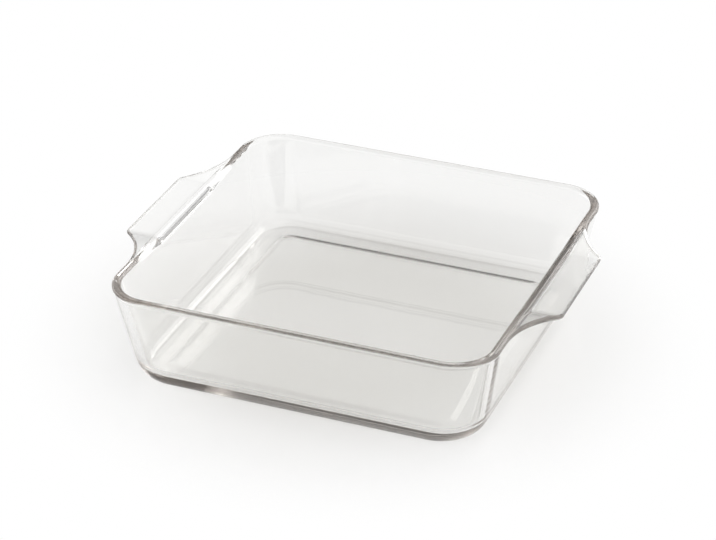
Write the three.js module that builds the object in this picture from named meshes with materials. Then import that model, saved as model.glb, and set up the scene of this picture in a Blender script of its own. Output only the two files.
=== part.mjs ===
import * as THREE from 'three';

// Square baking dish pressed in one piece from clear glass, with a tab handle at each end.
// Millimetres, Z up. X runs from handle to handle, Y from front to back, and the foot stands on Z = 0.

// Body. The base width is taken where the leaning outer wall would meet the table.
const RIM_WIDTH = 220;
const BASE_WIDTH = 200;
const DISH_HEIGHT = 56.4;
const RIM_CORNER_RADIUS = 25.5;
const BASE_CORNER_RADIUS = 26;
const WALL_THICKNESS = 4.8;
const FLOOR_THICKNESS = 5.5;
const FLOOR_FILLET = 7;

// Oval heel under the walls, flat foot ring, and the shallow hollow that keeps the floor off the table.
const HEEL_REACH = 6;
const HEEL_HEIGHT = 8;
const FOOT_WIDTH = 10.7;
const HOLLOW_DEPTH = 0.6;
const HOLLOW_SLOPE = 6;

// Rim: rounded over inside and outside, with a low lip standing out of the wall.
const RIM_FLAT = 1.2;
const LIP_REACH = 0.4;
const LIP_FILLET = 1.2;

// Tab handles. The reach is counted outwards from the lip, the root length along the side of the dish.
const TAB_REACH = 18.1;
const TAB_ROOT_LENGTH = 147;
const TAB_SWEEP_RADIUS = 50;
const TAB_CORNER_RADIUS = 4.6;
const TAB_EDGE_RADIUS = 1.7;
const TAB_DROP = 0.8;
const TAB_UNDER_FILLET = 5;
const TAB_UNDER_TURN = THREE.MathUtils.degToRad(86);
const TAB_UNDER_STRAIGHT = 0.3;
const TAB_INNER_ROUND = 6.3;

// No corner of the foot or the floor is sharper than this in plan.
const SMALLEST_CORNER = 4;

// Facets along each stretch of the plan and of the section.
const TAB_EDGE_STEPS = 4;
const TAB_CORNER_STEPS = 5;
const TAB_SWEEP_STEPS = 9;
const CORNER_STEPS = 9;
const PLAIN_SIDE_STEPS = 2;
const HEEL_STEPS = 5;
const WALL_STEPS = 3;
const FILLET_STEPS = 6;
const UNDER_STEPS = 2;
const EDGE_STEPS = 10;
const TOP_STEPS = 2;
const INNER_ROUND_STEPS = 6;
const FLOOR_FILLET_STEPS = 7;

const RIM_ROUND = (WALL_THICKNESS + LIP_REACH - RIM_FLAT) / 2;
const LIP_HEIGHT = DISH_HEIGHT - RIM_ROUND;
const QUARTER_TURN = Math.PI / 2;

// Half width of the leaning outer wall at a height.
function wallLine(height) {
  const foot = BASE_WIDTH / 2;
  const top = RIM_WIDTH / 2 - LIP_REACH;
  return foot + ((top - foot) * height) / LIP_HEIGHT;
}

// Distance of the plan's corner centres from the middle of the dish at a height.
function cornerCentre(height) {
  const foot = BASE_WIDTH / 2 - BASE_CORNER_RADIUS;
  const top = RIM_WIDTH / 2 - LIP_REACH - RIM_CORNER_RADIUS;
  return foot + ((top - foot) * height) / LIP_HEIGHT;
}

function oval(x, y, reach, rise, from, to) {
  return new THREE.EllipseCurve(x, y, reach, rise, from, to, to < from);
}

function arc(x, y, radius, from, to) {
  return oval(x, y, radius, radius, from, to);
}

function line(fromX, fromY, toX, toY) {
  return new THREE.LineCurve(new THREE.Vector2(fromX, fromY), new THREE.Vector2(toX, toY));
}

// Points along a chain of touching curves, each met point taken once.
function pointsAlong(chain) {
  const points = [chain[0].curve.getPoint(0)];
  for (const { curve, steps } of chain) {
    points.push(...curve.getPoints(steps).slice(1));
  }
  return points;
}

// Half of a handle seen from above: x is the distance along the side, y how far the tab stands out there.
// A straight outer edge turns over a small round corner into a wide hollow sweep, which dies into the rim.
function tabOutline() {
  const root = TAB_ROOT_LENGTH / 2;
  const cornerReach = TAB_REACH - TAB_CORNER_RADIUS;
  const rise = TAB_SWEEP_RADIUS - cornerReach;
  const apart = TAB_SWEEP_RADIUS + TAB_CORNER_RADIUS;
  const run = Math.sqrt(apart * apart - rise * rise);
  const turn = Math.atan2(run, rise);
  const edgeEnd = root - run;
  return pointsAlong([
    { curve: line(0, TAB_REACH, edgeEnd, TAB_REACH), steps: TAB_EDGE_STEPS },
    {
      curve: arc(edgeEnd, cornerReach, TAB_CORNER_RADIUS, QUARTER_TURN, QUARTER_TURN - turn),
      steps: TAB_CORNER_STEPS,
    },
    {
      curve: arc(root, TAB_SWEEP_RADIUS, TAB_SWEEP_RADIUS, 3 * QUARTER_TURN - turn, 3 * QUARTER_TURN),
      steps: TAB_SWEEP_STEPS,
    },
  ]);
}

// Upright section through floor, wall and rim, from the hollow underneath, over the rim, to the floor inside.
// x is counted outwards from the outer wall. The wall turns out under the tab in an S: a hollow fillet,
// a straight underside and the round outer edge, all tangent. With no tab the same S shrinks to the lip.
function sectionPoints(tabReach) {
  const share = tabReach / TAB_REACH;
  const reach = LIP_REACH + tabReach;
  const edge = THREE.MathUtils.lerp(RIM_ROUND, TAB_EDGE_RADIUS, share);
  const inner = THREE.MathUtils.lerp(RIM_ROUND, TAB_INNER_ROUND, share);
  const fillet = THREE.MathUtils.lerp(LIP_FILLET, TAB_UNDER_FILLET, share);
  const top = DISH_HEIGHT - TAB_DROP * share;

  const rounds = edge + fillet;
  const lean = Math.atan2(TAB_UNDER_STRAIGHT, rounds);
  const needed = (rounds - reach) / Math.hypot(rounds, TAB_UNDER_STRAIGHT);
  const turn = Math.min(TAB_UNDER_TURN, Math.acos(Math.max(needed, -1)) - lean);
  const straight = (reach - rounds * (1 - Math.cos(turn))) / Math.sin(turn);
  const edgeHeight = top - edge;
  const flareHeight = edgeHeight - rounds * Math.sin(turn) - straight * Math.cos(turn);

  const footOuter = -HEEL_REACH;
  const footInner = footOuter - FOOT_WIDTH;
  const hollowEdge = footInner - HOLLOW_SLOPE;
  const innerFace = -WALL_THICKNESS;
  const filletCentre = innerFace - FLOOR_FILLET;
  const filletTop = FLOOR_THICKNESS + FLOOR_FILLET;
  const underStartX = fillet * (1 - Math.cos(turn));
  const underStartZ = flareHeight + fillet * Math.sin(turn);
  const underEndX = reach - edge + edge * Math.cos(turn);
  const underEndZ = edgeHeight - edge * Math.sin(turn);
  return pointsAlong([
    { curve: line(hollowEdge, HOLLOW_DEPTH, footInner, 0), steps: 1 },
    { curve: line(footInner, 0, footOuter, 0), steps: 1 },
    { curve: oval(footOuter, HEEL_HEIGHT, HEEL_REACH, HEEL_HEIGHT, -QUARTER_TURN, 0), steps: HEEL_STEPS },
    { curve: line(0, HEEL_HEIGHT, 0, flareHeight), steps: WALL_STEPS },
    { curve: arc(fillet, flareHeight, fillet, Math.PI, Math.PI - turn), steps: FILLET_STEPS },
    { curve: line(underStartX, underStartZ, underEndX, underEndZ), steps: UNDER_STEPS },
    { curve: arc(reach - edge, edgeHeight, edge, -turn, QUARTER_TURN), steps: EDGE_STEPS },
    { curve: line(reach - edge, top, innerFace + inner, top), steps: TOP_STEPS },
    { curve: arc(innerFace + inner, top - inner, inner, QUARTER_TURN, Math.PI), steps: INNER_ROUND_STEPS },
    { curve: line(innerFace, top - inner, innerFace, filletTop), steps: WALL_STEPS },
    { curve: arc(filletCentre, filletTop, FLOOR_FILLET, 0, -QUARTER_TURN), steps: FLOOR_FILLET_STEPS },
  ]);
}

// Columns of the loft over one quarter of the plan, from the middle of a handle to the middle of a plain side.
// A column stands at its share of the corner centre and looks out along its direction.
function quarterColumns() {
  const columns = [];
  const sideLength = cornerCentre(LIP_HEIGHT);
  for (const point of tabOutline()) {
    const share = new THREE.Vector2(1, point.x / sideLength);
    columns.push({ share, direction: new THREE.Vector2(1, 0), tabReach: Math.max(point.y, 0) });
  }
  for (let step = 0; step <= CORNER_STEPS; step += 1) {
    const angle = (QUARTER_TURN * step) / CORNER_STEPS;
    const direction = new THREE.Vector2(Math.cos(angle), Math.sin(angle));
    columns.push({ share: new THREE.Vector2(1, 1), direction, tabReach: 0 });
  }
  for (let step = 1; step <= PLAIN_SIDE_STEPS; step += 1) {
    const share = new THREE.Vector2(1 - step / PLAIN_SIDE_STEPS, 1);
    columns.push({ share, direction: new THREE.Vector2(0, 1), tabReach: 0 });
  }
  return columns;
}

// The quarter mirrored round the whole dish, anticlockwise from above. Columns on the two axes are used once.
function allColumns() {
  const quarter = quarterColumns();
  const last = quarter.length - 1;
  const mirrored = (column, signX, signY) => ({
    share: new THREE.Vector2(column.share.x * signX, column.share.y * signY),
    direction: new THREE.Vector2(column.direction.x * signX, column.direction.y * signY),
    tabReach: column.tabReach,
  });
  const forward = quarter.slice(1, last);
  const backward = [...forward].reverse();
  return [
    quarter[0],
    ...forward,
    quarter[last],
    ...backward.map((column) => mirrored(column, -1, 1)),
    mirrored(quarter[0], -1, 1),
    ...forward.map((column) => mirrored(column, -1, -1)),
    mirrored(quarter[last], 1, -1),
    ...backward.map((column) => mirrored(column, 1, -1)),
  ];
}

// Places one section on its column: the wall leans out, and the corner radius follows the height.
function columnPoints(column) {
  return sectionPoints(column.tabReach).map((point) => {
    const halfWidth = wallLine(point.y) + point.x;
    const centre = Math.min(cornerCentre(point.y), halfWidth - SMALLEST_CORNER);
    const radius = halfWidth - centre;
    const x = column.share.x * centre + column.direction.x * radius;
    const y = column.share.y * centre + column.direction.y * radius;
    return new THREE.Vector3(x, y, point.y);
  });
}

// The loft: a closed skin of columns, capped by the middle of the hollow and the middle of the floor.
function makeGlassDish() {
  const columns = allColumns().map(columnPoints);
  const rows = columns[0].length;
  const points = columns.flat();
  const under = points.length;
  points.push(new THREE.Vector3(0, 0, HOLLOW_DEPTH));
  const floor = points.length;
  points.push(new THREE.Vector3(0, 0, FLOOR_THICKNESS));

  const faces = [];
  for (let column = 0; column < columns.length; column += 1) {
    const here = column * rows;
    const next = ((column + 1) % columns.length) * rows;
    faces.push(under, next, here);
    for (let row = 0; row < rows - 1; row += 1) {
      faces.push(here + row, next + row, next + row + 1);
      faces.push(here + row, next + row + 1, here + row + 1);
    }
    faces.push(floor, here + rows - 1, next + rows - 1);
  }

  const geometry = new THREE.BufferGeometry().setFromPoints(points);
  geometry.setIndex(faces);
  geometry.computeVertexNormals();
  const glass = new THREE.MeshStandardMaterial({ color: '#e4ebe8', roughness: 0.04, metalness: 0 });
  const dish = new THREE.Mesh(geometry, glass);
  dish.name = 'glass_dish';
  return dish;
}

const group = new THREE.Group();
group.name = 'glass_baking_dish';
group.add(makeGlassDish());

export default group;
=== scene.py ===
import math

import bpy
import numpy as np
from mathutils import Matrix, Vector


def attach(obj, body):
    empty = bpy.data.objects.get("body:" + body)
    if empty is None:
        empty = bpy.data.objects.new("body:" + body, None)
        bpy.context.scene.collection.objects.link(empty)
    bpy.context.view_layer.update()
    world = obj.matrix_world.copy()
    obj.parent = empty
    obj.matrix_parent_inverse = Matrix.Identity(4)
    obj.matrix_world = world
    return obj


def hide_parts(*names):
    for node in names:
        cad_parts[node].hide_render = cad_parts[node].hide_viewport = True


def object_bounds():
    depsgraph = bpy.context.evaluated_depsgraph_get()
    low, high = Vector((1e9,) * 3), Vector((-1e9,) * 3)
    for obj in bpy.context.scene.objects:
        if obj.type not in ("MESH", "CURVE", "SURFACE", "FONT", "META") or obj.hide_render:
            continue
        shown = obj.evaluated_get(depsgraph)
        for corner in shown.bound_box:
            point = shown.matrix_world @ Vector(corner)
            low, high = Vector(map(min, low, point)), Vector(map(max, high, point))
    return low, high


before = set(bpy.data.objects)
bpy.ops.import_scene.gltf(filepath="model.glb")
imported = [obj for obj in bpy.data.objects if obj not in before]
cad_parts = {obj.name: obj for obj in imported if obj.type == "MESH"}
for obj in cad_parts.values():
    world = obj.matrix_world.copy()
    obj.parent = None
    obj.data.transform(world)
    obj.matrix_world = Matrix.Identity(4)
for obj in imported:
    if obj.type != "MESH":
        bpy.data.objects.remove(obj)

bl_info = {
    "name": "Glass baking dish",
    "version": (1, 0, 0),
    "blender": (4, 5, 0),
    "location": "3D View > Sidebar > Bakeware",
    "description": "Square pressed-glass baking dish with tab handles on a white studio floor",
    "category": "Add Mesh",
}

CAD_BOX = [list(corner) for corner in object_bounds()]
CAD_HEIGHT = CAD_BOX[1][2] - CAD_BOX[0][2]

NODE = "glass_dish"
BODY = "root"

# Steps of the surface along each stretch of the section, from the middle underneath to the middle of the
# floor.
SECTION_STEPS = {
    "underside": 18,
    "hollow_slope": 10,
    "foot": 4,
    "heel": 18,
    "outer_wall": 16,
    "flare_fillet": 14,
    "flare": 6,
    "edge": 22,
    "tab_top": 6,
    "rim_step": 14,
    "rim_flat": 4,
    "inner_round": 16,
    "inner_wall": 16,
    "floor_fillet": 22,
    "floor": 20,
}

# Steps along each stretch of a quarter of the plan, from the middle of a handle to that of a plain side.
PLAN_STEPS = {
    "tab_edge": 12,
    "tab_corner": 14,
    "tab_sweep": 36,
    "rim_beside_tab": 3,
    "corner": 30,
    "plain_side": 12,
}

# The grid runs this share of the way to the middle, and a fan of triangles closes the rest.
GRID_SHARE = 0.985

# The plan's corner centres stay within this share of the half width, so that it stays rounded near the
# middle.
CENTRE_SHARE = 0.9

# Half the side of the floor sheet in metres, far past where it has faded into the background.
FLOOR_HALF = 3.0

# Each softbox: its name, its place and its two sides in metres, and the property that holds its watts.
SOFTBOXES = (
    ("back_softbox", (0.95, 3.3, 2.06), (2.1, 1.5), "back_light"),
    ("left_softbox", (-2.9, 0.1, 0.7), (3.0, 1.4), "left_light"),
    ("right_softbox", (2.3, 1.75, 0.7), (3.0, 1.4), "right_light"),
)

# The point in the dish that the softboxes face.
SOFTBOX_TARGET = (0.0, 0.0, 0.02)

# Light is turned back many times inside rim and handles before it leaves the glass.
GLASS_BOUNCES = 64

# Width of the photograph and focal length of the camera fitted to it, both in pixels, and the sensor
# that the focal length is scaled to.
FRAME_WIDTH = 716
FOCAL_PIXELS = 2740.28
SENSOR_WIDTH_MM = 36.0


def linear(hex_colour):
    """Linear red, green and blue of an sRGB hex colour: the curve's straight foot, and its power above."""
    values = np.array([int(hex_colour[i:i + 2], 16) for i in (1, 3, 5)]) / 255
    return tuple(np.where(values <= 0.04045, values / 12.92, ((values + 0.055) / 1.055) ** 2.4))


WHITE = (*linear("#ffffff"), 1.0)


def length(name, default, description):
    """A length property in metres."""
    return bpy.props.FloatProperty(
        name=name, description=description, default=default, min=0.0, precision=5, unit="LENGTH"
    )


def colour(name, hex_colour, description):
    """A colour property given as sRGB hex."""
    return bpy.props.FloatVectorProperty(
        name=name, description=description, default=linear(hex_colour),
        size=3, min=0.0, max=1.0, subtype="COLOR",
    )


def number(name, default, description, unit="NONE"):
    """A number property, with a unit where one fits."""
    return bpy.props.FloatProperty(
        name=name, description=description, default=default, precision=4, unit=unit
    )


def share(name, default, description):
    """A number property between nothing and all."""
    return bpy.props.FloatProperty(
        name=name, description=description, default=default,
        min=0.0, max=1.0, precision=4, subtype="FACTOR",
    )


def angle(name, degrees, description):
    """An angle property, given in degrees and kept in radians."""
    return bpy.props.FloatProperty(
        name=name, description=description, default=math.radians(degrees), subtype="ANGLE"
    )


def patch(name, degrees, description):
    """A round patch of the surroundings.

    Its four angles are azimuth, elevation, and the radii where the patch begins and ends to fade."""
    return bpy.props.FloatVectorProperty(
        name=name, description=description, default=[math.radians(value) for value in degrees],
        size=4, unit="ROTATION",
    )


class DishShape(bpy.types.PropertyGroup):
    """Sizes of the pressed dish"""

    height: length("Height", CAD_HEIGHT, "From the foot to the top of the rim")
    rim_width: length("Rim width", 0.220, "Across the rim from lip to lip")
    base_width: length("Base width", 0.200, "Where the leaning outer walls would meet the table")
    rim_corner: length("Rim corner radius", 0.0255, "Plan radius of the outer wall at the rim")
    base_corner: length("Base corner radius", 0.026, "Plan radius of the outer wall at the table")
    wall: length("Wall thickness", 0.0048, "Thickness of the glass in the walls, measured level")
    floor: length("Floor thickness", 0.0055, "Top of the floor above the table")
    floor_fillet: length("Floor fillet", 0.006, "Round between the floor and the inner wall")
    heel: length("Heel reach", 0.005, "How far in the round between outer wall and foot reaches")
    heel_height: length("Heel height", 0.0095, "How far up that round reaches")
    foot: length("Foot width", 0.0107, "Flat ring that the dish stands on")
    hollow: length("Hollow depth", 0.0006, "Lift of the underside inside the foot")
    hollow_slope: length("Hollow slope", 0.006, "Width of the slope from the foot into the hollow")
    rim_flat: length("Rim flat", 0.0012, "Flat on top of the rim between its two rounds")
    lip: length("Lip reach", 0.0004, "How far the lip stands out of the outer wall")
    lip_fillet: length("Lip fillet", 0.0012, "Hollow round under the lip")
    tab_reach: length("Tab reach", 0.0182, "How far a handle stands out of the lip")
    tab_root: length("Tab root length", 0.147, "Length of a handle where it runs into the rim")
    tab_sweep: length("Tab sweep radius", 0.050, "Hollow plan curve between rim and tab")
    tab_corner: length("Tab corner radius", 0.0046, "Plan radius of a tab's outer corner")
    tab_edge: length("Tab edge radius", 0.0017, "Round of a tab's outer edge")
    tab_drop: length("Tab drop", 0.0015, "How far a tab's top lies below the rim")
    tab_fillet: length("Tab fillet", 0.0015, "Hollow round between outer wall and tab underside")
    tab_turn: angle("Tab turn", 86.0, "Most that the underside turns out from the wall")
    tab_straight: length("Least straight", 0.0003, "Shortest straight between the flare's two rounds")
    tab_step: length("Tab step", 0.0015, "Width of the step from the rim down to a tab's top")
    tab_inner: length("Tab inner round", 0.003, "Round from the inner wall onto the rim beside a tab")


class GlassLook(bpy.types.PropertyGroup):
    """Finish of the glass"""

    surface: colour("Surface", "#f9f9f8", "Tint where light enters and leaves the glass")
    body: colour("Body", "#b4aaa1", "Colour the glass turns light that crosses it")
    density: number("Body density", 6.5, "Absorption per metre of glass")
    ior: number("Refractive index", 1.517, "Of soda-lime glass")
    ripple: length("Ripple size", 0.018, "Width of the ripples left by pressing and fire polish")
    ripple_height: length("Ripple height", 0.000015, "Height of those ripples")


class StudioLook(bpy.types.PropertyGroup):
    """Floor, light and camera"""

    # The floor colour is darker than white on purpose: it is painted shade under and around the dish,
    # which fades out into the white background between fade_start and fade_end.
    sheet: colour("Floor", "#dedddb", "Glossy white studio floor")
    sheet_roughness: share("Floor roughness", 0.28, "Blur of the dish's mirror image in the floor")
    sheet_ior: number("Floor refractive index", 1.49, "Of acrylic")
    fade_start: length("Fade start", 0.06, "Where the floor begins to fade into the white background")
    fade_end: length("Fade end", 0.20, "Where the floor has become the white background")
    air_gap: length("Air gap", 0.00015, "Thin air under the foot, so that light leaves the glass there")
    ambient: number("Ambient", 1.3, "Brightness of the white surroundings")
    flag_depth: share("Flag depth", 0.95, "Share of the light that the dark flags take away")
    front_flag: patch("Front flag", (15.0, -50.0, 62.0, 74.0), "Dark flag low on the camera's side")
    back_flag: patch("Back flag", (202.0, 4.0, 12.0, 28.0), "Dark flag low behind the dish")
    top_flag: patch("Top flag", (255.0, 63.0, 18.0, 38.0), "Dark flag overhead on the left")
    back_light: number("Back softbox", 24.0, "Watts of the large soft light behind the dish", "POWER")
    left_light: number("Left softbox", 14.0, "Watts of the low soft light on the left", "POWER")
    right_light: number("Right softbox", 7.0, "Watts of the low soft light on the right", "POWER")
    azimuth: angle("Azimuth", 21.287, "Camera direction, from the front towards the right handle")
    elevation: angle("Elevation", 28.828, "Camera height above the horizon")
    roll: angle("Roll", 0.387, "Camera tilt about its own axis")
    distance: length("Distance", 1.55371, "From the camera to its aim")
    aim: bpy.props.FloatVectorProperty(
        name="Aim", description="Point in the middle of the picture",
        default=(-0.010393, 0.020757, 0.025), subtype="TRANSLATION", unit="LENGTH",
    )
    focal: number(
        "Focal length", FOCAL_PIXELS * SENSOR_WIDTH_MM / FRAME_WIDTH, "Lens in millimetres", "CAMERA"
    )


def steps(count, closed=False):
    """count even steps from 0 towards 1, with the end itself only where closed."""
    return np.linspace(0.0, 1.0, count + closed, endpoint=closed)


def smoothstep(t):
    """Rises from 0 to 1 as t does, level at both ends."""
    return t * t * (3 - 2 * t)


def rim_round(shape):
    """Radius of the rim's two rounds: half of what its flat leaves of wall and lip."""
    return (shape.wall + shape.lip - shape.rim_flat) / 2


def table_to_lip(at_table, at_lip, height, shape):
    """A straight line over height, through one value at the table and another at the lip's height."""
    return at_table + (at_lip - at_table) * height / (shape.height - rim_round(shape))


def wall_line(height, shape):
    """Half width of the leaning outer wall: a straight line from the table to the lip."""
    return table_to_lip(shape.base_width / 2, shape.rim_width / 2 - shape.lip, height, shape)


def corner_centre(height, shape):
    """How far out the plan's corner centres lie: a straight line from the table to the lip."""
    at_table = shape.base_width / 2 - shape.base_corner
    at_lip = shape.rim_width / 2 - shape.lip - shape.rim_corner
    return table_to_lip(at_table, at_lip, height, shape)


def tab_plan(shape):
    """Where a handle's straight edge ends, its two arcs touch and the handle ends, along the side.

    The corner arc and the sweep arc touch from outside, so their centres lie the sum of their radii
    apart."""
    root = shape.tab_root / 2
    rise = shape.tab_sweep - (shape.tab_reach - shape.tab_corner)
    apart = shape.tab_sweep + shape.tab_corner
    run = math.sqrt(apart ** 2 - rise ** 2)
    edge_end = root - run
    touch = edge_end + run * shape.tab_corner / apart
    return edge_end, touch, root


def tab_profile(along, shape):
    """How far the handle stands out at distances along the side.

    A straight outer edge, then a convex arc of the tab's corner radius, then a hollow arc of the sweep
    radius that is tangent to the corner arc and to the rim line, where it ends."""
    edge_end, touch, root = tab_plan(shape)
    corner_depth = np.sqrt(np.maximum(shape.tab_corner ** 2 - (along - edge_end) ** 2, 0.0))
    corner = shape.tab_reach - shape.tab_corner + corner_depth
    sweep = shape.tab_sweep - np.sqrt(np.maximum(shape.tab_sweep ** 2 - (root - along) ** 2, 0.0))
    places = [along <= edge_end, along <= touch, along < root]
    return np.select(places, [shape.tab_reach, corner, sweep], 0.0)


def section(tab_reach, shape):
    """Section of the glass for an array of tab reaches, as half widths and heights, one row per reach.

    Upright, the outline runs from the middle underneath over the foot and the heel up the outer wall,
    turns out in an S (hollow fillet, straight underside, round edge, all tangent), comes back over the
    tab's level top, steps up onto the rim along a smoothstep and runs down the inner wall to the middle
    of the floor. Each point is then moved out by the wall line at its height. Away from the handles the
    reach is 0, and the same S is the plain lip."""
    reach_out = tab_reach[:, None]
    part = reach_out / shape.tab_reach
    plain_round = rim_round(shape)
    reach = shape.lip + reach_out
    edge = plain_round + (shape.tab_edge - plain_round) * part
    inner = plain_round + (shape.tab_inner - plain_round) * part
    fillet = shape.lip_fillet + (shape.tab_fillet - shape.lip_fillet) * part
    floor_round = shape.floor_fillet
    top = shape.height - shape.tab_drop * part

    # The underside turns out as far as a least straight between the two rounds of the S allows.
    rounds = edge + fillet
    lean = np.arctan2(shape.tab_straight, rounds)
    needed = (rounds - reach) / np.hypot(rounds, shape.tab_straight)
    turn = np.minimum(shape.tab_turn, np.arccos(np.clip(needed, -1.0, 1.0)) - lean)
    straight = (reach - rounds * (1 - np.cos(turn))) / np.sin(turn)
    edge_height = top - edge
    flare = edge_height - rounds * np.sin(turn) - straight * np.cos(turn)

    # Distances out from the upright wall line, negative towards the middle.
    shelf = reach - edge
    inner_out = -shape.wall + inner
    crown = inner_out + shape.rim_flat
    step_out = crown + np.minimum(shape.tab_step, shelf - crown)
    floor_out = -shape.wall - floor_round
    foot_out = -shape.heel - shape.foot
    hollow_out = foot_out - shape.hollow_slope
    underside_end = -wall_line(shape.hollow, shape) * GRID_SHARE
    floor_end = -wall_line(shape.floor, shape) * GRID_SHARE

    fillet_top = shape.floor + floor_round
    inner_height = shape.height - inner
    zero = np.zeros_like(part)
    offsets, heights = [], []

    def stretch(offset, height):
        offsets.append(zero + offset)
        heights.append(zero + height)

    def line(name, start, end, closed=False):
        t = steps(SECTION_STEPS[name], closed)
        stretch(start[0] + (end[0] - start[0]) * t, start[1] + (end[1] - start[1]) * t)

    def slope(name, start, end):
        t = steps(SECTION_STEPS[name])
        stretch(start[0] + (end[0] - start[0]) * t, start[1] + (end[1] - start[1]) * smoothstep(t))

    def arc(name, centre, across, upright, start, end):
        turned = start + (end - start) * steps(SECTION_STEPS[name])
        stretch(centre[0] + across * np.cos(turned), centre[1] + upright * np.sin(turned))

    line("underside", (underside_end, shape.hollow), (hollow_out, shape.hollow))
    slope("hollow_slope", (hollow_out, shape.hollow), (foot_out, 0.0))
    line("foot", (foot_out, 0.0), (-shape.heel, 0.0))
    arc("heel", (-shape.heel, shape.heel_height), shape.heel, shape.heel_height, -math.pi / 2, 0.0)
    line("outer_wall", (0.0, shape.heel_height), (0.0, flare))
    arc("flare_fillet", (fillet, flare), fillet, fillet, math.pi, math.pi - turn)
    flare_start = (fillet * (1 - np.cos(turn)), flare + fillet * np.sin(turn))
    flare_end = (shelf + edge * np.cos(turn), edge_height - edge * np.sin(turn))
    line("flare", flare_start, flare_end)
    arc("edge", (shelf, edge_height), edge, edge, -turn, math.pi / 2)
    line("tab_top", (shelf, top), (step_out, top))
    slope("rim_step", (step_out, top), (crown, shape.height))
    line("rim_flat", (crown, shape.height), (inner_out, shape.height))
    arc("inner_round", (inner_out, inner_height), inner, inner, math.pi / 2, math.pi)
    line("inner_wall", (-shape.wall, inner_height), (-shape.wall, fillet_top))
    arc("floor_fillet", (floor_out, fillet_top), floor_round, floor_round, 0.0, -math.pi / 2)
    line("floor", (floor_out, shape.floor), (floor_end, shape.floor), closed=True)
    offset = np.concatenate(offsets, 1)
    height = np.concatenate(heights, 1)
    return wall_line(height, shape) + offset, height


def dish_surface(shape):
    """Grid of points of the dish, columns round the plan by rows along the section.

    The plan is a rounded square whose half width and corner radius follow the section. A column on a
    straight side sits at its share of the corner centre; one on a corner looks out from that centre at
    its angle. One quarter, from the middle of a handle to the middle of a plain side, is mirrored round
    the dish."""
    side = corner_centre(shape.height - rim_round(shape), shape)
    edge_end, touch, root = tab_plan(shape)
    turn = math.asin((touch - edge_end) / shape.tab_corner)
    along = np.concatenate([
        edge_end * steps(PLAN_STEPS["tab_edge"]),
        edge_end + shape.tab_corner * np.sin(turn * steps(PLAN_STEPS["tab_corner"])),
        root - shape.tab_sweep * np.sin(turn * (1 - steps(PLAN_STEPS["tab_sweep"]))),
        root + (side - root) * steps(PLAN_STEPS["rim_beside_tab"]),
    ])
    angles = math.pi / 2 * steps(PLAN_STEPS["corner"])
    plain = 1 - steps(PLAN_STEPS["plain_side"], closed=True)
    share_x = np.concatenate([np.ones(along.size + angles.size), plain])
    share_y = np.concatenate([along / side, np.ones(angles.size + plain.size)])
    look_x = np.concatenate([np.ones(along.size), np.cos(angles), np.zeros(plain.size)])
    look_y = np.concatenate([np.zeros(along.size), np.sin(angles), np.ones(plain.size)])
    reach = np.concatenate([tab_profile(along, shape), np.zeros(angles.size + plain.size)])

    half_width, height = section(reach, shape)
    centre = np.minimum(corner_centre(height, shape), half_width * CENTRE_SHARE)
    radius = half_width - centre
    x = share_x[:, None] * centre + look_x[:, None] * radius
    y = share_y[:, None] * centre + look_y[:, None] * radius
    quarter = np.stack([x, y, height], -1)
    # The same quarter walked the other way, without the two columns it shares with its neighbours.
    back = quarter[-2:0:-1]
    return np.concatenate([
        quarter,
        back * (-1, 1, 1),
        quarter[:1] * (-1, 1, 1),
        quarter[1:] * (-1, -1, 1),
        back * (1, -1, 1),
    ])


def closed_mesh(name, grid):
    """Mesh of a grid that closes round its columns, with a fan at each end of its rows."""
    columns, rows = grid.shape[:2]
    ends = grid[:, (0, -1)].mean(0)
    points = np.concatenate([grid.reshape(-1, 3), ends])
    here = np.arange(columns)[:, None] * rows + np.arange(rows - 1)
    after = np.roll(here, -1, 0)
    quads = np.stack([here, after, after + 1, here + 1], -1).reshape(-1, 4)
    first = np.arange(columns) * rows
    second = np.roll(first, -1)
    start, end = columns * rows, columns * rows + 1
    fans = np.concatenate([
        np.stack([np.full(columns, start), second, first], -1),
        np.stack([np.full(columns, end), first + rows - 1, second + rows - 1], -1),
    ])
    corners = np.concatenate([quads.ravel(), fans.ravel()])
    counts = np.concatenate([np.full(len(quads), 4), np.full(len(fans), 3)])
    mesh = bpy.data.meshes.new(name)
    mesh.vertices.add(len(points))
    mesh.vertices.foreach_set("co", points.ravel())
    mesh.loops.add(len(corners))
    mesh.loops.foreach_set("vertex_index", corners)
    mesh.polygons.add(len(counts))
    mesh.polygons.foreach_set("loop_start", np.cumsum(counts) - counts)
    mesh.polygons.foreach_set("use_smooth", np.ones(len(counts), bool))
    mesh.update(calc_edges=True)
    if mesh.validate():
        raise RuntimeError(f"{name}: the surface has broken faces")
    return mesh


def add_node(tree, kind, values=(), links=(), **settings):
    """Adds a node with its settings and socket values, its inputs linked from other nodes' outputs."""
    node = tree.nodes.new(kind)
    for key, value in settings.items():
        setattr(node, key, value)
    for socket, value in dict(values).items():
        node.inputs[socket].default_value = value
    for socket, source in dict(links).items():
        tree.links.new(source, node.inputs[socket])
    return node


def new_material(name):
    """An empty node material and its tree."""
    material = bpy.data.materials.new(name)
    material.use_nodes = True
    material.node_tree.nodes.clear()
    return material, material.node_tree


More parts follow.
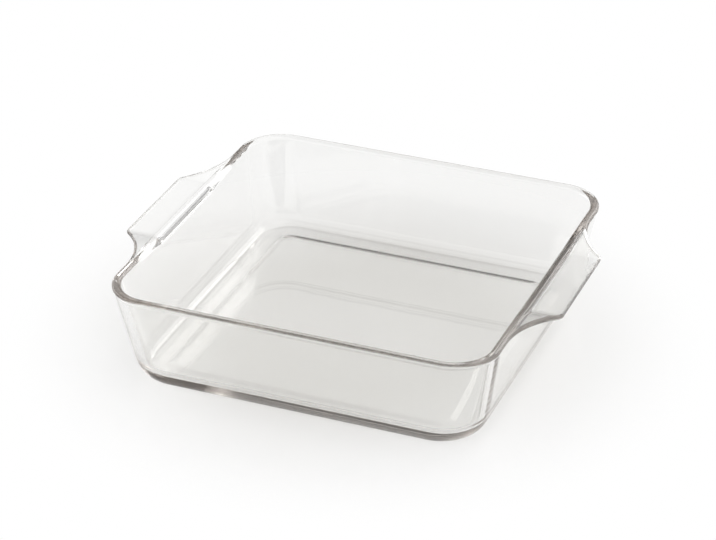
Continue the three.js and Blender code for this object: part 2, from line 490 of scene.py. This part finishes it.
def fire_polished_glass(look):
    """Pressed, fire-polished soda-lime glass.

    Pressing leaves long shallow ripples that fire polish softens, so edges seen through the walls wander
    a little. The body is near colourless: only long ways through it, along rim and floor, turn
    grey-brown."""
    material, tree = new_material("pressed_fire_polished_soda_lime_glass")
    place = add_node(tree, "ShaderNodeTexCoord")
    ripple = add_node(
        tree, "ShaderNodeTexNoise",
        {"Scale": 1 / look.ripple, "Detail": 1.0, "Roughness": 0.4},
        {"Vector": place.outputs["Object"]},
    )
    bump = add_node(
        tree, "ShaderNodeBump",
        {"Strength": 1.0, "Distance": look.ripple_height},
        {"Height": ripple.outputs["Fac"]},
    )
    glass = add_node(
        tree, "ShaderNodeBsdfPrincipled",
        {
            "Base Color": (*look.surface, 1.0),
            "Roughness": 0.0,
            "IOR": look.ior,
            "Transmission Weight": 1.0,
        },
        {"Normal": bump.outputs["Normal"]},
    )
    body = add_node(
        tree, "ShaderNodeVolumeAbsorption",
        {"Color": (*look.body, 1.0), "Density": look.density},
    )
    add_node(
        tree, "ShaderNodeOutputMaterial",
        links={"Surface": glass.outputs["BSDF"], "Volume": body.outputs["Volume"]},
    )
    return material


def glossy_floor(look):
    """Glossy acrylic sheet whose colour, darker than white, is painted shade under and around the dish.

    It carries a blurred mirror image of the dish and fades into the white background, which glows as
    emission."""
    material, tree = new_material("glossy_white_acrylic_sheet")
    place = add_node(tree, "ShaderNodeTexCoord")
    away = add_node(
        tree, "ShaderNodeVectorMath",
        links={0: place.outputs["Object"]}, operation="LENGTH",
    )
    # Painted shade: near the dish the sheet's colour, darker than white, stands for the shade under and
    # around it; this fade hands it over to the glowing white background further out.
    fade = add_node(
        tree, "ShaderNodeMapRange",
        {"From Min": look.fade_start, "From Max": look.fade_end},
        {"Value": away.outputs["Value"]}, interpolation_type="SMOOTHSTEP",
    )
    sheet = add_node(
        tree, "ShaderNodeBsdfPrincipled",
        {"Base Color": (*look.sheet, 1.0), "Roughness": look.sheet_roughness, "IOR": look.sheet_ior},
    )
    white = add_node(tree, "ShaderNodeEmission", {"Color": WHITE, "Strength": 1.0})
    both = add_node(
        tree, "ShaderNodeMixShader",
        links={0: fade.outputs["Result"], 1: sheet.outputs["BSDF"], 2: white.outputs["Emission"]},
    )
    add_node(tree, "ShaderNodeOutputMaterial", links={"Surface": both.outputs["Shader"]})
    return material


def direction(azimuth, elevation):
    """Unit vector at an azimuth, counted from the front towards the right handle, and an elevation."""
    level = math.cos(elevation)
    return Vector((math.sin(azimuth) * level, -math.cos(azimuth) * level, math.sin(elevation)))


def white_surroundings(look):
    """White studio all round with three soft-edged dark flags.

    The flags are left out of what the camera sees directly. Glass bends them into its rim, heel and
    corners, where they show as thin dark lines."""
    world = bpy.data.worlds.new("white_studio")
    world.use_nodes = True
    tree = world.node_tree
    tree.nodes.clear()
    path = add_node(tree, "ShaderNodeLightPath")
    place = add_node(tree, "ShaderNodeTexCoord")
    light = add_node(tree, "ShaderNodeValue")
    light.outputs["Value"].default_value = look.ambient
    for azimuth, elevation, inner, outer in (look.front_flag, look.back_flag, look.top_flag):
        towards = add_node(
            tree, "ShaderNodeVectorMath",
            {1: direction(azimuth, elevation)},
            {0: place.outputs["Generated"]}, operation="DOT_PRODUCT",
        )
        left = add_node(
            tree, "ShaderNodeMapRange",
            {
                "From Min": math.cos(outer),
                "From Max": math.cos(inner),
                "To Min": 1.0,
                "To Max": 1.0 - look.flag_depth,
            },
            {"Value": towards.outputs["Value"]}, interpolation_type="SMOOTHSTEP",
        )
        light = add_node(
            tree, "ShaderNodeMath",
            links={0: light.outputs["Value"], 1: left.outputs["Result"]}, operation="MULTIPLY",
        )
    strength = add_node(
        tree, "ShaderNodeMath",
        links={0: path.outputs["Is Camera Ray"], 1: light.outputs["Value"]}, operation="MAXIMUM",
    )
    sky = add_node(
        tree, "ShaderNodeBackground",
        {"Color": WHITE}, {"Strength": strength.outputs["Value"]},
    )
    add_node(tree, "ShaderNodeOutputWorld", links={"Surface": sky.outputs["Background"]})
    return world


def place_object(context, name, data):
    """Links a new object at the origin."""
    thing = bpy.data.objects.new(name, data)
    context.scene.collection.objects.link(thing)
    return thing


def aimed(position, target, roll=0.0):
    """Matrix that looks from a position at a target with its local -Z, Z up, turned by roll."""
    back = (Vector(position) - Vector(target)).normalized()
    right = Vector((0, 0, 1)).cross(back).normalized()
    up = back.cross(right)
    tilted_right = right * math.cos(roll) + up * math.sin(roll)
    tilted_up = up * math.cos(roll) - right * math.sin(roll)
    matrix = Matrix((tilted_right, tilted_up, back)).transposed().to_4x4()
    matrix.translation = position
    return matrix


def floor_sheet(look):
    """Mesh of the level floor sheet, a thin air gap below the foot."""
    half = FLOOR_HALF
    low = -look.air_gap
    corners = [(-half, -half, low), (half, -half, low), (half, half, low), (-half, half, low)]
    mesh = bpy.data.meshes.new("floor_sheet")
    mesh.from_pydata(corners, [], [(0, 1, 2, 3)])
    mesh.materials.append(glossy_floor(look))
    return mesh


def soft_lamp(context, name, position, size, power):
    """A rectangular soft light that faces the dish."""
    lamp = bpy.data.lights.new(name, "AREA")
    lamp.shape = "RECTANGLE"
    lamp.size, lamp.size_y = size
    lamp.energy = power
    place_object(context, name, lamp).matrix_world = aimed(position, SOFTBOX_TARGET)


def studio_camera(context, look):
    """The scene's camera, at its distance from the aim towards its azimuth and elevation."""
    camera = bpy.data.cameras.new("camera")
    camera.sensor_fit = "HORIZONTAL"
    camera.sensor_width = SENSOR_WIDTH_MM
    camera.lens = look.focal
    thing = place_object(context, "camera", camera)
    aim = Vector(look.aim)
    back = direction(look.azimuth, look.elevation)
    thing.matrix_world = aimed(aim + back * look.distance, aim, look.roll)
    context.scene.camera = thing


class BAKEWARE_OT_glass_dish(bpy.types.Operator):
    """Build the pressed glass dish in place of its plain solid"""

    bl_idname = "bakeware.glass_dish"
    bl_label = "Glass dish"

    def execute(self, context):
        mesh = closed_mesh("glass_dish_surface", dish_surface(context.scene.dish_shape))
        mesh.materials.append(fire_polished_glass(context.scene.glass_look))
        dish = place_object(context, "pressed_glass_dish", mesh)
        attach(dish, BODY)
        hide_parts(NODE)
        return {"FINISHED"}


class BAKEWARE_OT_white_studio(bpy.types.Operator):
    """Set the white floor, the soft light and the camera"""

    bl_idname = "bakeware.white_studio"
    bl_label = "White studio"

    def execute(self, context):
        look = context.scene.studio_look
        place_object(context, "floor_sheet", floor_sheet(look))
        context.scene.world = white_surroundings(look)
        for name, position, size, power in SOFTBOXES:
            soft_lamp(context, name, position, size, getattr(look, power))
        studio_camera(context, look)
        context.scene.view_settings.view_transform = "Standard"
        cycles = context.scene.cycles
        cycles.max_bounces = GLASS_BOUNCES
        cycles.glossy_bounces = GLASS_BOUNCES
        cycles.transmission_bounces = GLASS_BOUNCES
        cycles.blur_glossy = 0.0
        return {"FINISHED"}


class BAKEWARE_PT_dish(bpy.types.Panel):
    """Glass baking dish"""

    bl_idname = "BAKEWARE_PT_dish"
    bl_label = "Glass baking dish"
    bl_space_type = "VIEW_3D"
    bl_region_type = "UI"
    bl_category = "Bakeware"

    def draw(self, context):
        scene = context.scene
        self.list_group(scene.dish_shape)
        self.list_group(scene.glass_look)
        self.layout.operator(BAKEWARE_OT_glass_dish.bl_idname)
        self.list_group(scene.studio_look)
        self.layout.operator(BAKEWARE_OT_white_studio.bl_idname)

    def list_group(self, group):
        column = self.layout.column(align=True)
        for key in group.bl_rna.properties.keys():
            if key not in ("rna_type", "name"):
                column.prop(group, key)


CLASSES = (
    DishShape,
    GlassLook,
    StudioLook,
    BAKEWARE_OT_glass_dish,
    BAKEWARE_OT_white_studio,
    BAKEWARE_PT_dish,
)


def register():
    """Registers the classes and gives the scene their properties."""
    for cls in CLASSES:
        bpy.utils.register_class(cls)
    bpy.types.Scene.dish_shape = bpy.props.PointerProperty(type=DishShape)
    bpy.types.Scene.glass_look = bpy.props.PointerProperty(type=GlassLook)
    bpy.types.Scene.studio_look = bpy.props.PointerProperty(type=StudioLook)


def unregister():
    """Takes the properties and the classes away again."""
    del bpy.types.Scene.studio_look
    del bpy.types.Scene.glass_look
    del bpy.types.Scene.dish_shape
    for cls in reversed(CLASSES):
        bpy.utils.unregister_class(cls)


def main():
    """Builds the dish and the studio."""
    register()
    bpy.ops.bakeware.glass_dish()
    bpy.ops.bakeware.white_studio()


if __name__ == "__main__":
    main()
